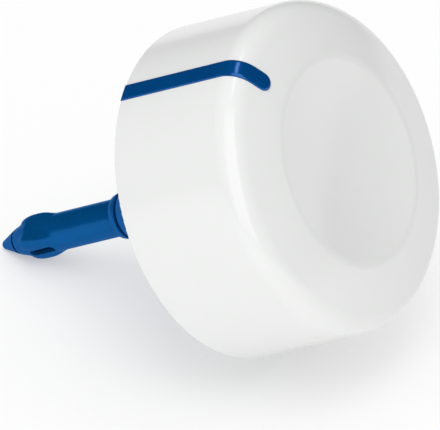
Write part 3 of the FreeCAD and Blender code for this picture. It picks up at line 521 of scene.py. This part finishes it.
def window_cutter():
    """Slot with round ends that passes through both sides of the guard."""
    outline = []
    for centre, start in ((WINDOW_TOP + WINDOW_HALF, 0), (WINDOW_FOOT - WINDOW_HALF, math.pi)):
        for step in range(17):
            angle = start + math.pi * step / 16
            outline.append((WINDOW_HALF * math.cos(angle), WINDOW_HALF * math.sin(angle) - centre))
    out = Vector((math.cos(WINDOW_AZIMUTH), math.sin(WINDOW_AZIMUTH), 0)) * 20
    beside = Vector((-math.sin(WINDOW_AZIMUTH), math.cos(WINDOW_AZIMUTH), 0))
    points = [beside * x + Vector((0, 0, z)) + reach for reach in (out, -out) for x, z in outline]
    count = len(outline)
    faces = grid_faces(2, count, close_columns=True)
    faces += [list(range(count)), list(range(2 * count - 1, count - 1, -1))]
    mesh = bpy.data.meshes.new("window_cutter")
    mesh.from_pydata([(x * MM, y * MM, RIM_HEIGHT + z * MM) for x, y, z in points], [], faces)
    solid = bmesh.new()
    solid.from_mesh(mesh)
    bmesh.ops.recalc_face_normals(solid, faces=solid.faces)
    solid.to_mesh(mesh)
    solid.free()
    cutter = bpy.data.objects.new("window_cutter", mesh)
    bpy.context.scene.collection.objects.link(cutter)
    return cutter


def cut_away(piece, cutter):
    """Subtract a cutter from a piece for good, and delete the cutter."""
    boolean = piece.modifiers.new("cut", "BOOLEAN")
    boolean.operation = "DIFFERENCE"
    boolean.solver = "EXACT"
    boolean.object = cutter
    result = bpy.data.meshes.new_from_object(piece.evaluated_get(bpy.context.evaluated_depsgraph_get()))
    piece.modifiers.clear()
    piece.data = result
    bpy.data.objects.remove(cutter)


def add_probe_tube(looks, count=192):
    """Probe tube whose four fins swell out of the guard, with a water window on either side."""
    angles = numpy.linspace(0, 2 * math.pi, count, endpoint=False)
    top = rounded((TUBE_BORE, -TUBE_TOP), (TUBE_RADIUS, -TUBE_TOP), (TUBE_RADIUS, -90), 0.5)
    depths = [56, 60, 64, 68, 72, 76, 80, *numpy.arange(81.5, 105.6, 0.25)]
    rows = top + [(guard_radii(depth, angles), -depth) for depth in depths]
    rows += rounded((GUARD[1][1], -GUARD[1][0]), (GUARD[2][1], -GUARD[2][0]), (NOSE_BORE, -GUARD[2][0]), 0.5)
    bore = [(NOSE_BORE, -GUARD[2][0]), (NOSE_BORE, -CHAMBER_FLOOR), (TUBE_BORE, -CHAMBER_FLOOR)]
    bore += [(TUBE_BORE, -depth) for depth in range(99, 54, -3)] + [(TUBE_BORE, -TUBE_TOP)]
    points, faces = ring_grid(rows + bore, angles)
    piece = add_piece(points, faces, "probe_tube", "probe", "blue_moulding", looks)
    cut_away(piece, window_cutter())
    piece.data.set_sharp_from_angle(angle=SHARP_ANGLE)


# Locking collar

COLLAR_BORE = 5.75
THREAD_TOP, THREAD_FOOT = 41.3, 48.3
THREAD_CORE, THREAD_CREST = 7.45, 7.72
THREAD_PITCH = 3.5
COLLAR_NECK = 7.3
RIDGE_TOP, COLLAR_FOOT = 49.9, 53.2
RIDGE_RADIUS, EDGE_RADIUS = 9.7, 8.8
RIDGE_ROUND, EDGE_ROUND = 0.45, 0.5
COLLAR_CHAMFER = 0.2
THREAD_FADE = 0.9


def thread_radii(depth, angles):
    """Radius of a right-handed thread that fades out at both of its ends."""
    turns = (depth / THREAD_PITCH + angles / (2 * math.pi)) % 1
    crest = numpy.clip(1.6 - 4 * numpy.abs(turns - 0.5), 0, 1)
    fade = min((depth - THREAD_TOP) / THREAD_FADE, (THREAD_FOOT - depth) / THREAD_FADE, 1)
    return THREAD_CORE + (THREAD_CREST - THREAD_CORE) * crest * max(fade, 0)


def add_collar(looks, count=160):
    """Locking collar with its thread, a deep groove and a tapered flange."""
    angles = numpy.linspace(0, 2 * math.pi, count, endpoint=False)
    rows = [(COLLAR_BORE, -THREAD_TOP)]
    rows += [(thread_radii(depth, angles), -depth) for depth in numpy.linspace(THREAD_TOP, THREAD_FOOT, 64)]
    rows.append((COLLAR_NECK, -THREAD_FOOT - COLLAR_CHAMFER))
    rows.append((COLLAR_NECK, -RIDGE_TOP + COLLAR_CHAMFER))
    rows.append((COLLAR_NECK + COLLAR_CHAMFER, -RIDGE_TOP))
    ridge, edge = (RIDGE_RADIUS, -RIDGE_TOP), (EDGE_RADIUS, -COLLAR_FOOT)
    rows += rounded((COLLAR_NECK, -RIDGE_TOP), ridge, edge, RIDGE_ROUND, 6)
    rows += rounded(ridge, edge, (COLLAR_BORE, -COLLAR_FOOT), EDGE_ROUND, 6)
    rows.append((COLLAR_BORE, -COLLAR_FOOT))
    points, faces = ring_grid(rows, angles)
    add_piece(points, faces, "locking_collar", "collar", "blue_moulding", looks)


# Light


def floor_link(floor, state):
    """Collection that leaves the floor out of a light's reach, or is all that the light reaches."""
    link = bpy.data.collections.new("floor_" + state.lower())
    link.objects.link(floor)
    link.collection_objects[0].light_linking.link_state = state
    return link


def add_softbox(name, direction, distance, width, height, power, reach, mirrored=True):
    """Rectangular light that faces the part from a direction given as the camera sees it."""
    turn = view_rotation()
    data = bpy.data.lights.new(name, "AREA")
    data.shape = "RECTANGLE"
    data.size = width
    data.size_y = height
    data.energy = power
    light = bpy.data.objects.new(name, data)
    towards = (turn @ Vector(direction)).normalized()
    side = (turn @ Vector((0, 1, 0))).cross(towards).normalized()
    upright = towards.cross(side)
    facing = Matrix((side, upright, towards)).transposed()
    light.matrix_world = Matrix.Translation(towards * distance) @ facing.to_4x4()
    light.visible_camera = False
    light.visible_glossy = mirrored
    light.light_linking.receiver_collection = reach
    bpy.context.scene.collection.objects.link(light)


def add_world(strength):
    world = bpy.data.worlds.new("studio")
    world.use_nodes = True
    background = world.node_tree.nodes["Background"]
    background.inputs["Color"].default_value = grey(1.0)
    background.inputs["Strength"].default_value = strength
    bpy.context.scene.world = world
    world.cycles_visibility.glossy = False


def add_lights(floor):
    add_world(0.47)
    part_only = floor_link(floor, "EXCLUDE")
    add_softbox("key", (-0.14, 0.12, 0.98), 2.0, 1.5, 2.9, 20, part_only)
    add_softbox("edge_strip", (0.24, 0.10, 0.97), 2.0, 0.12, 2.9, 4.5, part_only)
    add_softbox("top_strip", (-0.03, 0.91, 0.40), 2.0, 0.3, 1.0, 3.0, part_only)
    add_softbox("top_fill", (-0.30, 0.90, 0.30), 1.8, 1.5, 1.5, 6.4, part_only, False)
    floor_only = floor_link(floor, "INCLUDE")
    add_softbox("overhead", (0.0, 0.83, 0.56), 2.0, 6.0, 6.0, 78, floor_only, False)
    add_softbox("front", (0.0, 0.55, 0.83), 2.0, 1.0, 1.0, 9.5, floor_only, False)


def main():
    scene = bpy.context.scene
    scene.view_settings.view_transform = "Standard"
    scene.view_settings.look = "None"
    add_camera()
    looks = materials()
    dress_nodes(looks)
    add_strip(looks)
    add_probe_tube(looks)
    add_collar(looks)
    add_lights(add_floor())


main()
